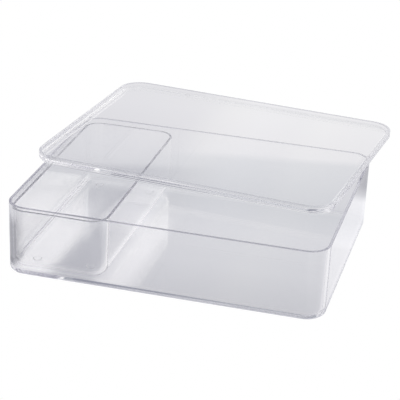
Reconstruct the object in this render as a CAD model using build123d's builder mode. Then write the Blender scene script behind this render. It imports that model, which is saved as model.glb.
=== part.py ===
"""Clear acrylic storage box with a lift-off lid and one full-depth inner tray.

Millimetres, +Z up. The origin is the centre of the box's flat base, front is -Y.
Every piece is one injection moulding in clear plastic: the box, the tray that
stands in its left end, and the lid. The lid is laid across the rim, turned and
pushed back, so its locating ridge stands on the box's rim.
"""

from build123d import *
from math import radians, tan
import os

# --- Box -----------------------------------------------------------------
box_length = 240.0            # outside, at the rim, along X
box_depth = 190.0             # outside, at the rim, along Y
box_height = 54.0
box_wall = 2.2
box_floor = 2.5
box_corner_radius = 16.0      # outside, in plan, at the rim
box_base_edge = 2.0           # outside edge between wall and base
box_inner_edge = 3.0          # inside edge between wall and floor
draft_angle = 0.6             # every wall leans out towards its rim
rim_edge = 0.4                # polished edges of the two rims

# --- Tray ----------------------------------------------------------------
tray_width = 74.5             # outside, at its rim, along X
tray_wall = 2.0
tray_floor = 2.0
tray_corner_radius = 13.0     # outside, in plan, at its rim
tray_base_edge = 9.0          # outside edge between wall and base
tray_side_gap = 0.4           # to the box's walls, on every side that they face
foot_diameter = 6.2
foot_height = 0.8
foot_edge = 0.4               # rounded lower edge of each foot
foot_inset_x = 16.0           # from the tray's outside at its base
foot_inset_y = 20.0

# --- Lid -----------------------------------------------------------------
lid_plate = 2.0
lid_rim_height = 3.1          # above the plate
lid_rim_width = 2.2
lid_pocket_edge = 1.5         # inside edge between the lid's rim and its plate
lid_corner_radius = 18.5      # outside, in plan
ridge_height = 2.4            # below the plate
ridge_width = 2.0
ridge_gap = 0.6               # to the box's inside, with the lid closed
ridge_tray_gap = 1.1          # above the tray's rim, with the lid closed

# --- Where the loose pieces lie -------------------------------------------
seat_gap = 0.05               # hairline under the tray's feet and under the ridge
lid_turn = -6.0               # degrees about Z
lid_back = 69.0               # along +Y
lid_right = 0.0               # along +X

lean = tan(radians(draft_angle))


def leaned(rim_size, rim_height, height):
    """Size across two opposite leaning walls at a height, from their size at the rim."""
    return rim_size - 2 * (rim_height - height) * lean


def leaned_radius(rim_radius, rim_height, height):
    """Corner radius of a leaning wall at a height, from its radius at the rim."""
    return rim_radius - (rim_height - height) * lean


# --- Box -----------------------------------------------------------------
inner_length = box_length - 2 * box_wall
inner_depth = box_depth - 2 * box_wall
inner_corner_radius = box_corner_radius - box_wall

with BuildPart() as box:
    with BuildSketch():
        RectangleRounded(
            leaned(box_length, box_height, 0),
            leaned(box_depth, box_height, 0),
            leaned_radius(box_corner_radius, box_height, 0),
        )
    extrude(amount=box_height, taper=-draft_angle)
    fillet(box.faces().sort_by(Axis.Z)[0].edges(), box_base_edge)
    with BuildSketch(Plane.XY.offset(box_floor)):
        RectangleRounded(
            leaned(inner_length, box_height, box_floor),
            leaned(inner_depth, box_height, box_floor),
            leaned_radius(inner_corner_radius, box_height, box_floor),
        )
    extrude(amount=box_height - box_floor, taper=-draft_angle, mode=Mode.SUBTRACT)
    cavity_floor = box.faces().filter_by(Axis.Z).sort_by(Axis.Z)[1]
    fillet(cavity_floor.edges(), box_inner_edge)
    fillet(box.faces().filter_by(Axis.Z).sort_by(Axis.Z)[-1].edges(), rim_edge)

box.part.label = "box"

# --- Tray ----------------------------------------------------------------
tray_base = box_floor + seat_gap + foot_height
tray_rim = box_height - ridge_height - ridge_tray_gap
tray_depth = leaned(inner_depth, box_height, tray_rim) - 2 * tray_side_gap
tray_left = -leaned(inner_length, box_height, tray_rim) / 2 + tray_side_gap
tray_centre = tray_left + tray_width / 2

base_width = leaned(tray_width, tray_rim, tray_base)
base_depth = leaned(tray_depth, tray_rim, tray_base)
tray_inside = tray_base + tray_floor
foot_pitch_x = base_width - 2 * foot_inset_x
foot_pitch_y = base_depth - 2 * foot_inset_y

with BuildPart() as tray:
    with BuildSketch(Plane.XY.offset(tray_base)):
        with Locations((tray_centre, 0)):
            RectangleRounded(
                base_width,
                base_depth,
                leaned_radius(tray_corner_radius, tray_rim, tray_base),
            )
    extrude(amount=tray_rim - tray_base, taper=-draft_angle)
    fillet(tray.faces().sort_by(Axis.Z)[0].edges(), tray_base_edge)
    with BuildPart(mode=Mode.SUBTRACT) as tray_hollow:
        with BuildSketch(Plane.XY.offset(tray_inside)):
            with Locations((tray_centre, 0)):
                RectangleRounded(
                    leaned(tray_width - 2 * tray_wall, tray_rim, tray_inside),
                    leaned(tray_depth - 2 * tray_wall, tray_rim, tray_inside),
                    leaned_radius(tray_corner_radius - tray_wall, tray_rim, tray_inside),
                )
        extrude(amount=tray_rim - tray_inside, taper=-draft_angle)
        fillet(tray_hollow.faces().sort_by(Axis.Z)[0].edges(), tray_base_edge - tray_wall)
    fillet(tray.faces().filter_by(Axis.Z).sort_by(Axis.Z)[-1].edges(), rim_edge)
    with BuildSketch(Plane.XY.offset(tray_base)):
        with Locations((tray_centre, 0)):
            with GridLocations(foot_pitch_x, foot_pitch_y, 2, 2):
                Circle(foot_diameter / 2)
    extrude(amount=-foot_height)
    fillet(tray.faces().sort_by(Axis.Z)[:4].edges(), foot_edge)

tray.part.label = "tray"

# --- Lid -----------------------------------------------------------------
lid_seat = box_height + seat_gap
lid_plane = Plane(Location((lid_right, lid_back, lid_seat), (0, 0, lid_turn)))
ridge_length = inner_length - 2 * ridge_gap
ridge_depth = inner_depth - 2 * ridge_gap
ridge_corner_radius = inner_corner_radius - ridge_gap

with BuildPart() as lid:
    with BuildSketch(lid_plane.offset(ridge_height)):
        RectangleRounded(box_length, box_depth, lid_corner_radius)
    extrude(amount=lid_plate + lid_rim_height)
    with BuildSketch(lid_plane.offset(ridge_height + lid_plate)):
        RectangleRounded(
            box_length - 2 * lid_rim_width,
            box_depth - 2 * lid_rim_width,
            lid_corner_radius - lid_rim_width,
        )
    extrude(amount=lid_rim_height, mode=Mode.SUBTRACT)
    with BuildSketch(lid_plane):
        RectangleRounded(ridge_length, ridge_depth, ridge_corner_radius)
        RectangleRounded(
            ridge_length - 2 * ridge_width,
            ridge_depth - 2 * ridge_width,
            ridge_corner_radius - ridge_width,
            mode=Mode.SUBTRACT,
        )
    extrude(amount=ridge_height)
    pocket_floor = lid.faces().filter_by(Axis.Z).sort_by(Axis.Z)[-2]
    fillet(pocket_floor.edges(), lid_pocket_edge)
    fillet(lid.faces().filter_by(Axis.Z).sort_by(Axis.Z)[-1].edges(), rim_edge)

lid.part.label = "lid"

# --- Files ----------------------------------------------------------------
os.makedirs("parts", exist_ok=True)
export_step(box.part, "parts/box.step")
export_step(tray.part, "parts/tray.step")
export_step(lid.part, "parts/lid.step")
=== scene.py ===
"""Looks and studio of the clear storage box with its inner tray and loose lid.

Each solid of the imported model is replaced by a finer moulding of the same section, because clear
plastic shows every facet. The mouldings are given in millimetres, everything else in metres.
"""

import math

import bmesh
import bpy
from mathutils import Matrix, Vector


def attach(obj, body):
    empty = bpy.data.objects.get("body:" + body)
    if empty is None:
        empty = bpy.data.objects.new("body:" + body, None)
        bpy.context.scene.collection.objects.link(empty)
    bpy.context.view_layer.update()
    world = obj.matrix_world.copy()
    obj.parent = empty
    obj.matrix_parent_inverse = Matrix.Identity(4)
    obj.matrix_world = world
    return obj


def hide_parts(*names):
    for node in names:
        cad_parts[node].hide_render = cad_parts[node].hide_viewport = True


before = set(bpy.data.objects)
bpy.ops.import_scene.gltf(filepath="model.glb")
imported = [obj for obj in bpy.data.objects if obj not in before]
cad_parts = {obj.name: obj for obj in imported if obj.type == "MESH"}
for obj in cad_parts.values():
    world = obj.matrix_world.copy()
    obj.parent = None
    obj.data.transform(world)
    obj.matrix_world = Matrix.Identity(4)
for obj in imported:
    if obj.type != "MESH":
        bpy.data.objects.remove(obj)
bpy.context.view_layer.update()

scene = bpy.context.scene
MM_PER_METRE = 1000
WHITE = (1.0, 1.0, 1.0)

# --- Camera ------------------------------------------------------------------------
# Angles in radians. Place, angles and lens were fitted to the object's rims and corners.
CAMERA_PLACE = Vector((0.2673105, -1.0416132, 0.5168336))
CAMERA_AZIMUTH = 0.248004
CAMERA_ELEVATION = 0.419739
CAMERA_ROLL = 0.043272
CAMERA_LENS = 138.284         # millimetres, as is the sensor
SENSOR_WIDTH = 36.0
NEAREST_SEEN = 0.01

camera_data = bpy.data.cameras.new("camera")
camera = bpy.data.objects.new("camera", camera_data)
scene.collection.objects.link(camera)
scene.camera = camera
camera_data.sensor_width = SENSOR_WIDTH
camera_data.lens = CAMERA_LENS
camera_data.clip_start = NEAREST_SEEN
backward = Vector((
    math.sin(CAMERA_AZIMUTH) * math.cos(CAMERA_ELEVATION),
    -math.cos(CAMERA_AZIMUTH) * math.cos(CAMERA_ELEVATION),
    math.sin(CAMERA_ELEVATION),
))
level = Vector((0, 0, 1)).cross(backward).normalized()
upright = backward.cross(level)
side = level * math.cos(CAMERA_ROLL) + upright * math.sin(CAMERA_ROLL)
top = upright * math.cos(CAMERA_ROLL) - level * math.sin(CAMERA_ROLL)
turn = Matrix((side, top, backward)).transposed().to_4x4()
camera.matrix_world = Matrix.Translation(CAMERA_PLACE) @ turn


# --- Node helpers --------------------------------------------------------------------
def node(tree, kind, place, **settings):
    made = tree.nodes.new(kind)
    made.location = place
    for name, value in settings.items():
        setattr(made, name, value)
    return made


def feed(tree, source, socket):
    """Links a socket to another one, or gives it a number or a colour."""
    if isinstance(source, bpy.types.NodeSocket):
        tree.links.new(source, socket)
    else:
        socket.default_value = source


def calculate(tree, operation, place, *operands):
    made = node(tree, "ShaderNodeMath", place, operation=operation)
    for source, socket in zip(operands, made.inputs):
        feed(tree, source, socket)
    return made.outputs["Value"]


def map_range(tree, value, start, end, place, to_start=0.0, to_end=1.0, kind="LINEAR"):
    made = node(tree, "ShaderNodeMapRange", place, interpolation_type=kind)
    made.inputs["From Min"].default_value = start
    made.inputs["From Max"].default_value = end
    made.inputs["To Min"].default_value = to_start
    made.inputs["To Max"].default_value = to_end
    tree.links.new(value, made.inputs["Value"])
    return made.outputs["Result"]


def between(tree, value, first, last, soft, place):
    """1 where a value lies between two limits and 0 outside them, with soft edges."""
    off = calculate(tree, "SUBTRACT", place, value, (first + last) / 2)
    away = calculate(tree, "ABSOLUTE", (place[0] + 180, place[1]), off)
    reach = (last - first) / 2
    return map_range(
        tree,
        away,
        reach - soft,
        reach + soft,
        (place[0] + 360, place[1]),
        to_start=1.0,
        to_end=0.0,
        kind="SMOOTHSTEP",
    )


def ramp(tree, value, stops, place):
    """The colour for a value, from (position, colour) stops."""
    made = node(tree, "ShaderNodeValToRGB", place)
    entries = made.color_ramp.elements
    while len(entries) < len(stops):
        entries.new(0.5)
    for entry, (position, colour) in zip(entries, stops):
        entry.position = position
        entry.color = (*colour, 1.0)
    tree.links.new(value, made.inputs["Fac"])
    return made.outputs["Color"]


def mixed(tree, kind, share, first, second, place):
    """Two colours mixed. share, first and second are sockets, or a number and RGBA colours."""
    made = node(tree, "ShaderNodeMix", place, data_type="RGBA", blend_type=kind)
    feed(tree, share, made.inputs["Factor"])
    feed(tree, first, made.inputs["A"])
    feed(tree, second, made.inputs["B"])
    return made.outputs["Result"]


def white_to_camera(tree, colour, place):
    """White where the camera looks straight at it, and the colour for all other rays."""
    rays = node(tree, "ShaderNodeLightPath", (place[0] - 200, place[1] + 300))
    return mixed(tree, "MIX", rays.outputs["Is Camera Ray"], colour, (*WHITE, 1.0), place)


def noise(tree, vector, place, scale, detail):
    made = node(tree, "ShaderNodeTexNoise", place)
    made.inputs["Scale"].default_value = scale
    made.inputs["Detail"].default_value = detail
    tree.links.new(vector, made.inputs["Vector"])
    return made.outputs["Fac"]


def bump(tree, height, place, strength, distance):
    made = node(tree, "ShaderNodeBump", place)
    made.inputs["Strength"].default_value = strength
    made.inputs["Distance"].default_value = distance
    tree.links.new(height, made.inputs["Height"])
    return made


# --- Sizes of the mouldings, in millimetres ----------------------------------------------
# A PLAN is the radius of the corners in plan, and an EDGE the rounding of an edge.
DRAFT_ANGLE = 0.6                     # degrees, of every wall of the box and the tray
LEAN = math.tan(math.radians(DRAFT_ANGLE))
RIM_EDGE = 0.4                        # of the polished rims

BOX_LENGTH, BOX_DEPTH, BOX_HEIGHT = 240.0, 190.0, 54.0
BOX_WALL, BOX_FLOOR, BOX_PLAN = 2.2, 2.5, 16.0
BOX_BASE_EDGE, BOX_INNER_EDGE = 2.0, 3.0

TRAY_WIDTH, TRAY_DEPTH, TRAY_RIM = 74.5, 184.727, 50.5
TRAY_BASE, TRAY_WALL, TRAY_FLOOR, TRAY_PLAN = 3.35, 2.0, 2.0, 13.0
TRAY_BASE_EDGE, TRAY_INNER_EDGE = 9.0, 7.0
TRAY_CENTRE = -80.113
FOOT_X, FOOT_Y = 20.756, 71.870       # from the middle of the tray

LID_UNDER, LID_FLOOR, LID_TOP = 2.4, 4.4, 7.5     # above the underside of its ridge
LID_RIM = 2.2
LID_PLAN, RIDGE_PLAN = 18.5, 16.0
RIDGE_OUT, RIDGE_IN = 2.8, 4.8        # in from the lid's outline
LID_UNDER_EDGE, LID_POCKET_EDGE = 0.15, 1.5
LID_BACK, LID_SEAT, LID_TURN = 69.0, 54.05, -6.0    # LID_TURN is in degrees

# --- Clear moulded acrylic -----------------------------------------------------------------
REFRACTIVE_INDEX = 1.49
ABSORPTION_COLOUR = (0.55, 0.54, 0.64, 1.0)
ABSORPTION_DENSITY = 1.6
HAZE_ROUGHNESS = 0.03                     # at most, where hands have left marks
HAZE_NOISE = (0.52, 0.75)                 # the noise that gives none of it and all of it
SCRATCH_NOISE = (0.68, 0.80)
SCRATCH_STRETCH = (12.0, 900.0, 900.0)    # of the noise, which makes the scratches long in X
RUBBED_ROUGHNESS = 0.06                   # of a rubbed floor
# In millimetres. The first two rows place the painted shade at the rims and at the base edge.
RIM_SHADE_FROM, RIM_SHADE_TO = 0.5, 0.3     # below the top of the rim
BASE_SHADE_REACH = 3.0                     # above the base
RUBBED_FULLY, RUBBED_NO_MORE = 0.3, 1.0   # away from the floor


def acrylic(name, seed, grain, rim_height, rim_painted_shade, base_painted_shade=None, rubbed_floor=None):
    """Clear, faintly violet plastic, with a slight ripple of the mould and fine handling marks.

    seed shifts the noise and grain turns that of the scratches, in radians, so that the pieces
    don't carry the same marks. The heights are in millimetres.
    """
    material = bpy.data.materials.new(name)
    material.use_nodes = True
    tree = material.node_tree
    shader = tree.nodes["Principled BSDF"]
    output = tree.nodes["Material Output"]
    shader.inputs["Transmission Weight"].default_value = 1.0
    shader.inputs["IOR"].default_value = REFRACTIVE_INDEX

    coordinates = node(tree, "ShaderNodeTexCoord", (-1500, 0))
    split = node(tree, "ShaderNodeSeparateXYZ", (-1300, 600))
    tree.links.new(coordinates.outputs["Object"], split.inputs["Vector"])
    height = split.outputs["Z"]
    shifted = node(tree, "ShaderNodeMapping", (-1300, 0))
    shifted.inputs["Location"].default_value = (seed, seed * 0.7, seed * 0.3)
    tree.links.new(coordinates.outputs["Object"], shifted.inputs["Vector"])

    # The rims are given painted shade, and on the box the base edge too: a darker colour that
    # draws the dark lines of shade along these edges. The depth of the painted shade is fitted.
    rim_shade_share = map_range(
        tree,
        height,
        (rim_height - RIM_SHADE_FROM) / MM_PER_METRE,
        (rim_height - RIM_SHADE_TO) / MM_PER_METRE,
        (-1000, 600),
        kind="SMOOTHSTEP",
    )
    colour = ramp(tree, rim_shade_share, [(0.0, WHITE), (1.0, rim_painted_shade)], (-750, 600))
    if base_painted_shade:
        base_shade_share = map_range(tree, height, 0.0, BASE_SHADE_REACH / MM_PER_METRE, (-1000, 850))
        base_shade_colour = ramp(tree, base_shade_share, [
            (0.05, WHITE),
            (0.15, base_painted_shade),
            (0.62, base_painted_shade),
            (0.75, WHITE),
        ], (-750, 850))
        colour = mixed(tree, "MULTIPLY", 1.0, colour, base_shade_colour, (-450, 700))
    tree.links.new(colour, shader.inputs["Base Color"])

    # Roughness: almost none, a little more where hands have left marks, and on a floor that is
    # rubbed by what lies on it.
    marks = noise(tree, shifted.outputs["Vector"], (-1000, 250), scale=24.0, detail=3.0)
    roughness = map_range(tree, marks, *HAZE_NOISE, (-750, 250), to_end=HAZE_ROUGHNESS)
    if rubbed_floor:
        above = calculate(tree, "SUBTRACT", (-1000, 450), height, rubbed_floor / MM_PER_METRE)
        apart = calculate(tree, "ABSOLUTE", (-850, 450), above)
        rubbed = map_range(
            tree,
            apart,
            RUBBED_FULLY / MM_PER_METRE,
            RUBBED_NO_MORE / MM_PER_METRE,
            (-700, 450),
            to_start=RUBBED_ROUGHNESS,
            to_end=0.0,
        )
        roughness = calculate(tree, "ADD", (-500, 350), roughness, rubbed)
    tree.links.new(roughness, shader.inputs["Roughness"])

    # Ripple of the mould, and fine scratches along X.
    ripple = noise(tree, shifted.outputs["Vector"], (-1000, -50), scale=9.0, detail=1.0)
    stretched = node(tree, "ShaderNodeMapping", (-1250, -350))
    stretched.inputs["Scale"].default_value = SCRATCH_STRETCH
    stretched.inputs["Rotation"].default_value = (0.0, 0.0, grain)
    tree.links.new(shifted.outputs["Vector"], stretched.inputs["Vector"])
    scratches = noise(tree, stretched.outputs["Vector"], (-1000, -350), scale=1.0, detail=2.0)
    cut = map_range(tree, scratches, *SCRATCH_NOISE, (-750, -350), to_end=-1.0)
    rippled = bump(tree, ripple, (-500, -50), strength=0.05, distance=0.0008)
    scratched = bump(tree, cut, (-280, -250), strength=0.04, distance=0.00003)
    tree.links.new(rippled.outputs["Normal"], scratched.inputs["Normal"])
    tree.links.new(scratched.outputs["Normal"], shader.inputs["Normal"])

    # The plastic takes a little of the red and green out of long light paths.
    absorption = node(tree, "ShaderNodeVolumeAbsorption", (0, -300))
    absorption.inputs["Color"].default_value = ABSORPTION_COLOUR
    absorption.inputs["Density"].default_value = ABSORPTION_DENSITY
    tree.links.new(absorption.outputs["Volume"], output.inputs["Volume"])
    return material


# The rim and base colours of each piece are painted shade.
box_finish = acrylic(
    "acrylic_box",
    seed=0.0,
    grain=0.0,
    rim_height=BOX_HEIGHT,
    rim_painted_shade=(0.49, 0.485, 0.54),
    base_painted_shade=(0.86, 0.86, 0.89),
)
tray_finish = acrylic(
    "acrylic_tray",
    seed=3.1,
    grain=1.5,
    rim_height=TRAY_RIM,
    rim_painted_shade=(0.62, 0.62, 0.65),
    rubbed_floor=TRAY_BASE + TRAY_FLOOR,
)
lid_finish = acrylic(
    "acrylic_lid",
    seed=7.7,
    grain=0.4,
    rim_height=LID_SEAT + LID_TOP,
    rim_painted_shade=(0.76, 0.76, 0.79),
)

# --- Mouldings -------------------------------------------------------------------------------
# Each piece is one closed section swept round a rounded rectangle.
CORNER_STEPS = 28         # in a corner in plan
FOOT_STEPS = 40           # round a foot
EDGE_STEPS = 6            # in a section's quarter turn, and one more for each mm of its radius
LEAST_EDGE_STEPS = 4
QUARTER_TURN = math.radians(90)


def rounded_section(points):
    """Rounds the corners of an open section and gives each point its outward normal.

    A point is (inset from the outline, height, rounding, corner radius in plan at no inset).
    The section runs from the middle of the underside, round the edge, to the middle above.
    """
    flat = [Vector((point[0], point[1])) for point in points]
    made = []
    for k, (_, _, rounding, plan) in enumerate(points):
        here = flat[k]
        if k == 0 or k == len(points) - 1:
            along = (flat[1] - here if k == 0 else here - flat[k - 1]).normalized()
            made.append((here, Vector((-along.y, along.x)), plan))
            continue
        into = (here - flat[k - 1]).normalized()
        out = (flat[k + 1] - here).normalized()
        bend = math.atan2(into.x * out.y - into.y * out.x, into.dot(out))
        start = here - into * (rounding * math.tan(abs(bend) / 2))
        hand = math.copysign(1.0, bend)
        centre = start + Vector((-into.y, into.x)) * rounding * hand
        steps = max(LEAST_EDGE_STEPS, round(abs(bend) / QUARTER_TURN * (EDGE_STEPS + rounding)))
        for j in range(steps + 1):
            cos, sin = math.cos(bend * j / steps), math.sin(bend * j / steps)
            spoke = Vector((into.y * cos + into.x * sin, into.y * sin - into.x * cos))
            made.append((centre + spoke * rounding * hand, -spoke, plan))
    return made


def plan_ring(length, depth, inset, plan):
    """Points of a rounded rectangle and the outward direction in plan at each."""
    radius = plan - inset
    half_x = length / 2 - inset - radius
    half_y = depth / 2 - inset - radius
    ring = []
    for quarter, (sx, sy) in enumerate(((1, 1), (-1, 1), (-1, -1), (1, -1))):
        for j in range(CORNER_STEPS + 1):
            angle = QUARTER_TURN * (quarter + j / CORNER_STEPS)
            way = Vector((math.cos(angle), math.sin(angle), 0))
            ring.append((Vector((sx * half_x, sy * half_y, 0)) + way * radius, way))
    return ring


def fill_between(mesh, loops):
    """Closes the flat underside between its outline and the feet."""
    work = bmesh.new()
    work.from_mesh(mesh)
    work.verts.ensure_lookup_table()
    rims = []
    for loop in loops:
        for first, second in zip(loop, loop[1:] + loop[:1]):
            rims.append(work.edges.get((work.verts[first], work.verts[second])))
    bmesh.ops.triangle_fill(work, use_beauty=True, edges=rims, normal=(0, 0, -1))
    work.to_mesh(mesh)
    work.free()


def moulding(name, finish, length, depth, section, place=Matrix.Identity(4), feet=()):
    """Sweeps a section round a rounded rectangle and closes it below and inside.

    A foot is its place in X and Y and its profile of (radius, height, normal) points.
    """
    verts, normals, faces = [], [], []
    rows = rounded_section(section)
    count = 4 * (CORNER_STEPS + 1)
    for point, normal, plan in rows:
        for spot, way in plan_ring(length, depth, point.x, plan):
            verts.append(Vector((spot.x, spot.y, point.y)))
            normals.append(Vector((-way.x * normal.x, -way.y * normal.x, normal.y)))
    for row in range(len(rows) - 1):
        for j in range(count):
            a = row * count + j
            b = row * count + (j + 1) % count
            faces.append((a, b, b + count, a + count))
    last = (len(rows) - 1) * count
    faces.append(tuple(range(last, last + count)))
    loops = [list(range(count))]
    for foot_x, foot_y, profile in feet:
        first = len(verts)
        for radius, rise, normal in profile:
            for j in range(FOOT_STEPS):
                angle = math.tau * j / FOOT_STEPS
                way = Vector((math.cos(angle), math.sin(angle), 0))
                verts.append(Vector((foot_x, foot_y, rise)) + way * radius)
                normals.append(Vector((way.x * normal.x, way.y * normal.x, normal.y)))
        for row in range(len(profile) - 1):
            for j in range(FOOT_STEPS):
                a = first + row * FOOT_STEPS + j
                b = first + row * FOOT_STEPS + (j + 1) % FOOT_STEPS
                faces.append((a, a + FOOT_STEPS, b + FOOT_STEPS, b))
        bottom = first + (len(profile) - 1) * FOOT_STEPS
        faces.append(tuple(reversed(range(bottom, bottom + FOOT_STEPS))))
        loops.append(list(range(first, first + FOOT_STEPS)))
    if not feet:
        faces.append(tuple(reversed(loops[0])))
    mesh = bpy.data.meshes.new(name)
    mesh.from_pydata([v / MM_PER_METRE for v in verts], [], faces)
    if feet:
        fill_between(mesh, loops)
    mesh.transform(place)
    mesh.shade_smooth()
    turned = place.to_3x3()
    mesh.normals_split_custom_set_from_vertices([(turned @ n).normalized() for n in normals])
    mesh.materials.append(finish)
    piece = bpy.data.objects.new(name, mesh)
    scene.collection.objects.link(piece)
    return piece


# Each section starts on the flat underside and ends on the flat floor, inside the roundings. How
# far in it does so makes no difference to the shape.
box_piece = moulding("box_moulding", box_finish, BOX_LENGTH, BOX_DEPTH, [
    (10.0, 0.0, 0, BOX_PLAN),
    (BOX_HEIGHT * LEAN, 0.0, BOX_BASE_EDGE, BOX_PLAN),
    (0.0, BOX_HEIGHT, RIM_EDGE, BOX_PLAN),
    (BOX_WALL, BOX_HEIGHT, RIM_EDGE, BOX_PLAN),
    (BOX_WALL + (BOX_HEIGHT - BOX_FLOOR) * LEAN, BOX_FLOOR, BOX_INNER_EDGE, BOX_PLAN),
    (12.0, BOX_FLOOR, 0, BOX_PLAN),
])

# Radius, height and normal, from where the foot leaves the tray down to its flat end.
FOOT = [
    (3.45, TRAY_BASE, Vector((0.0, -1.0))),
    (3.35, TRAY_BASE - 0.02, Vector((0.4, -0.92)).normalized()),
    (3.20, TRAY_BASE - 0.08, Vector((0.8, -0.6))),
    (3.10, TRAY_BASE - 0.25, Vector((1.0, 0.0))),
    (3.10, TRAY_BASE - 0.42, Vector((1.0, 0.0))),
    (3.02, TRAY_BASE - 0.62, Vector((0.8, -0.6))),
    (2.87, TRAY_BASE - 0.76, Vector((0.4, -0.92)).normalized()),
    (2.70, TRAY_BASE - 0.80, Vector((0.0, -1.0))),
]
tray_inside = TRAY_BASE + TRAY_FLOOR
tray_piece = moulding("tray_moulding", tray_finish, TRAY_WIDTH, TRAY_DEPTH, [
    (11.6, TRAY_BASE, 0, TRAY_PLAN),
    ((TRAY_RIM - TRAY_BASE) * LEAN, TRAY_BASE, TRAY_BASE_EDGE, TRAY_PLAN),
    (0.0, TRAY_RIM, RIM_EDGE, TRAY_PLAN),
    (TRAY_WALL, TRAY_RIM, RIM_EDGE, TRAY_PLAN),
    (TRAY_WALL + (TRAY_RIM - tray_inside) * LEAN, tray_inside, TRAY_INNER_EDGE, TRAY_PLAN),
    (11.8, tray_inside, 0, TRAY_PLAN),
], Matrix.Translation((TRAY_CENTRE / MM_PER_METRE, 0, 0)), [
    (sx * FOOT_X, sy * FOOT_Y, FOOT) for sx in (-1, 1) for sy in (-1, 1)
])

lid_place = (
    Matrix.Translation((0, LID_BACK / MM_PER_METRE, LID_SEAT / MM_PER_METRE))
    @ Matrix.Rotation(math.radians(LID_TURN), 4, "Z")
)
lid_piece = moulding("lid_moulding", lid_finish, BOX_LENGTH, BOX_DEPTH, [
    (13.0, LID_UNDER, 0, RIDGE_PLAN),
    (RIDGE_IN, LID_UNDER, LID_UNDER_EDGE, RIDGE_PLAN),
    (RIDGE_IN, 0.0, LID_UNDER_EDGE, RIDGE_PLAN),
    (RIDGE_OUT, 0.0, LID_UNDER_EDGE, RIDGE_PLAN),
    (RIDGE_OUT, LID_UNDER, LID_UNDER_EDGE, RIDGE_PLAN),
    (0.0, LID_UNDER, LID_UNDER_EDGE, LID_PLAN),
    (0.0, LID_TOP, RIM_EDGE, LID_PLAN),
    (LID_RIM, LID_TOP, RIM_EDGE, LID_PLAN),
    (LID_RIM, LID_FLOOR, LID_POCKET_EDGE, LID_PLAN),
    (14.0, LID_FLOOR, 0, LID_PLAN),
], lid_place)

for body, piece in (("box", box_piece), ("tray", tray_piece), ("lid", lid_piece)):
    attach(piece, body)
    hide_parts(body)

# --- Floor -----------------------------------------------------------------------------------
FLOOR_REACH = 3.0
FLOOR_DROP = 0.0002       # below the box, so that the two surfaces don't meet

floor_mesh = bpy.data.meshes.new("studio_floor")
floor_mesh.from_pydata([
    (-FLOOR_REACH, -FLOOR_REACH, 0),
    (FLOOR_REACH, -FLOOR_REACH, 0),
    (FLOOR_REACH, FLOOR_REACH, 0),
    (-FLOOR_REACH, FLOOR_REACH, 0),
], [], [(0, 1, 2, 3)])
floor = bpy.data.objects.new("studio_floor", floor_mesh)
floor.location.z = -FLOOR_DROP
scene.collection.objects.link(floor)

# The paper is white to the camera. What the plastic shows of it carries painted shade set by
# position, standing in for the box's shadow: paler behind the box than under it and in front of
# it.
SHADE_PAINTED_FROM_Y, SHADE_PAINTED_TO_Y = -0.30, 0.70
PAINTED_SHADE_BY_Y = [
    (-0.30, (0.66, 0.67, 0.69)),
    (-0.16, (0.60, 0.605, 0.63)),
    (-0.10, (0.50, 0.50, 0.53)),
    (-0.0965, (0.50, 0.50, 0.53)),
    (-0.09, (0.62, 0.62, 0.66)),
    (-0.03, (0.70, 0.70, 0.74)),
    (0.03, (0.71, 0.71, 0.75)),
    (0.085, (0.645, 0.65, 0.69)),
    (0.17, (0.73, 0.73, 0.765)),
    (0.21, (0.765, 0.76, 0.79)),
    (0.28, (0.83, 0.825, 0.85)),
    (0.40, (0.86, 0.86, 0.87)),
    (0.70, (0.90, 0.90, 0.91)),
]
# Painted light and shade along X, laid over the painted shade along Y.
SHADE_PAINTED_FROM_X, SHADE_PAINTED_TO_X = -0.25, 0.25
PAINTED_LIGHT_AND_SHADE_BY_X = [
    (-0.07, (1.0, 1.0, 1.0)),
    (-0.0425, (1.02, 1.02, 1.01)),
    (-0.01, (1.02, 1.02, 1.02)),
    (0.025, (1.0, 1.0, 1.0)),
    (0.05, (1.02, 1.02, 1.01)),
    (0.09, (0.985, 0.985, 0.985)),
]
# Painted in place of the soft shadows and light that clear plastic throws on paper. They don't
# follow the pieces. X from and to, Y from and to, softness along X and along Y, tone.
PAINTED_SHADE_AND_LIGHT_PATCHES = [
    (-0.195, -0.1340, -0.20, -0.015, 0.008, 0.02, (0.60, 0.60, 0.62)),
    (-0.134, -0.1165, -0.20, -0.055, 0.004, 0.01, (0.52, 0.52, 0.54)),
    (-0.134, -0.1165, -0.055, 0.00, 0.004, 0.01, (0.96, 0.96, 0.97)),
    (-0.134, -0.1165, 0.00, 0.095, 0.004, 0.01, (0.95, 0.95, 0.95)),
    (-0.1165, -0.0880, -0.14, 0.025, 0.007, 0.04, (1.34, 1.33, 1.31)),
    (-0.0800, -0.0500, -0.16, 0.090, 0.009, 0.01, (0.86, 0.86, 0.88)),
    (-0.0520, -0.0240, -0.14, 0.025, 0.008, 0.04, (1.24, 1.23, 1.22)),
    (-0.0740, -0.0460, 0.005, 0.092, 0.007, 0.02, (1.26, 1.26, 1.25)),
    (-0.600, -0.0400, 0.10, 0.60, 0.030, 0.01, (0.965, 0.965, 0.97)),
    (-0.600, -0.0600, 0.10, 0.60, 0.020, 0.01, (0.955, 0.955, 0.96)),
    (0.0, 0.60, -0.30, -0.0965, 0.02, 0.001, (0.88, 0.88, 0.88)),
    (0.1165, 0.60, -0.30, 0.035, 0.004, 0.01, (1.32, 1.31, 1.28)),
    (0.1165, 0.60, 0.035, 0.130, 0.004, 0.01, (1.44, 1.43, 1.40)),
    (0.108, 0.146, 0.145, 0.212, 0.013, 0.016, (0.64, 0.64, 0.66)),
]

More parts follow.
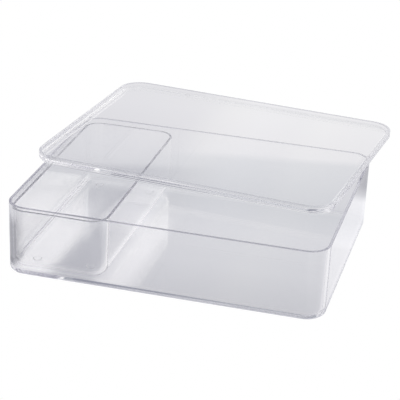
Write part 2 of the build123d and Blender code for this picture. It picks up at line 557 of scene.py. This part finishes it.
# The floor's material: white to the camera, painted shade and light to every other ray.
floor_with_painted_shade = bpy.data.materials.new("studio_floor")
floor_with_painted_shade.use_nodes = True
tree = floor_with_painted_shade.node_tree
tree.nodes.clear()
geometry = node(tree, "ShaderNodeNewGeometry", (-300, 0))
split = node(tree, "ShaderNodeSeparateXYZ", (-100, 0))
tree.links.new(geometry.outputs["Position"], split.inputs["Vector"])


def painted_shade_along(axis, start, end, stops, drop):
    """The painted shade and light of the paper along an axis, from (place, tone) stops."""
    share = map_range(tree, split.outputs[axis], start, end, (100, -drop))
    placed = [((place - start) / (end - start), tone) for place, tone in stops]
    return ramp(tree, share, placed, (300, -drop))


# The paper's colour for rays through the plastic: painted shade and light.
paper = mixed(
    tree,
    "MULTIPLY",
    1.0,
    painted_shade_along("Y", SHADE_PAINTED_FROM_Y, SHADE_PAINTED_TO_Y, PAINTED_SHADE_BY_Y, 0),
    painted_shade_along("X", SHADE_PAINTED_FROM_X, SHADE_PAINTED_TO_X, PAINTED_LIGHT_AND_SHADE_BY_X, 300),
    (600, 0),
)
for k, (west, east, south, north, soft_x, soft_y, tone) in enumerate(PAINTED_SHADE_AND_LIGHT_PATCHES):
    drop = -600 - 400 * k
    in_x = between(tree, split.outputs["X"], west, east, soft_x, (100, drop))
    in_y = between(tree, split.outputs["Y"], south, north, soft_y, (100, drop - 200))
    inside = calculate(tree, "MULTIPLY", (640, drop), in_x, in_y)
    paper = mixed(tree, "MULTIPLY", inside, paper, (*tone, 1.0), (840, drop))
glow = node(tree, "ShaderNodeEmission", (1300, 0))
tree.links.new(white_to_camera(tree, paper, (1100, 0)), glow.inputs["Color"])
output = node(tree, "ShaderNodeOutputMaterial", (1500, 0))
tree.links.new(glow.outputs["Emission"], output.inputs["Surface"])
floor_mesh.materials.append(floor_with_painted_shade)

# --- Studio light ------------------------------------------------------------------------------
# White to the camera. To all other rays it is a pale room. Behind the table a pale card ends
# about 22 degrees up. A large soft light stands behind it to the right, and the room is dark
# above the card to the left. Each list gives the colour by the sine of the height above the
# horizon.
ROOM = [
    (0.0, (1.00, 1.00, 1.00)),
    (0.40, (1.00, 1.00, 1.00)),
    (0.75, (0.88, 0.88, 0.88)),
    (1.0, (0.90, 0.91, 0.90)),
]
CARD = [
    (0.0, (1.00, 1.00, 1.00)),
    (0.17, (0.80, 0.80, 0.81)),
    (0.34, (0.80, 0.80, 0.81)),
    (0.3810, (1.00, 0.99, 1.00)),
    (0.3825, (0.64, 0.67, 0.70)),
    (0.43, (0.58, 0.60, 0.64)),
    (0.46, (0.42, 0.44, 0.48)),
    (0.57, (0.42, 0.44, 0.48)),
    (0.80, (0.55, 0.57, 0.58)),
    (1.0, (0.90, 0.91, 0.90)),
]
DARK = [
    (0.0, (1.00, 1.00, 1.00)),
    (0.17, (0.80, 0.80, 0.82)),
    (0.34, (0.75, 0.75, 0.79)),
    (0.3865, (0.80, 0.80, 0.83)),
    (0.3880, (0.28, 0.29, 0.35)),
    (0.42, (0.20, 0.21, 0.27)),
    (0.46, (0.32, 0.33, 0.39)),
    (0.57, (0.36, 0.37, 0.43)),
    (0.80, (0.45, 0.46, 0.50)),
    (1.0, (0.90, 0.91, 0.90)),
]
LIGHT = [
    (0.0, (1.45, 1.44, 1.43)),
    (0.26, (1.55, 1.54, 1.52)),
    (0.34, (1.50, 1.49, 1.46)),
    (0.43, (1.35, 1.33, 1.30)),
    (0.46, (1.35, 1.33, 1.30)),
    (0.56, (1.35, 1.33, 1.30)),
    (0.62, (0.90, 0.90, 0.90)),
    (1.0, (0.90, 0.91, 0.90)),
]
# Bearing from and to and softness, in degrees from +X, and the colours between them.
SECTORS = [
    (85.0, 130.0, 3.0, CARD),
    (105.0, 118.0, 2.5, DARK),
    (50.0, 85.0, 3.0, LIGHT),
]

world = bpy.data.worlds.new("studio")
scene.world = world
world.use_nodes = True
tree = world.node_tree
tree.nodes.clear()
direction = node(tree, "ShaderNodeTexCoord", (-900, 0))
split = node(tree, "ShaderNodeSeparateXYZ", (-700, 0))
tree.links.new(direction.outputs["Generated"], split.inputs["Vector"])
bearing = calculate(tree, "ARCTAN2", (-500, -300), split.outputs["Y"], split.outputs["X"])
surround = ramp(tree, split.outputs["Z"], ROOM, (-200, 300))
for k, (first, last, soft, stops) in enumerate(SECTORS):
    colour = ramp(tree, split.outputs["Z"], stops, (-200, -300 * k))
    limits = math.radians(first), math.radians(last), math.radians(soft)
    inside = between(tree, bearing, *limits, (-200, -900 - 200 * k))
    surround = mixed(tree, "MIX", inside, surround, colour, (600 + 200 * k, 0))
sky = node(tree, "ShaderNodeBackground", (1500, 0))
tree.links.new(white_to_camera(tree, surround, (1300, 0)), sky.inputs["Color"])
output = node(tree, "ShaderNodeOutputWorld", (1700, 0))
tree.links.new(sky.outputs["Background"], output.inputs["Surface"])

# --- Colour and light paths ------------------------------------------------------------------
# Light that the plastic traps needs hundreds of bounces to find its way out of an edge.
BOUNCES = 300

scene.view_settings.view_transform = "Standard"
scene.cycles.max_bounces = BOUNCES
scene.cycles.transmission_bounces = BOUNCES
scene.cycles.glossy_bounces = BOUNCES
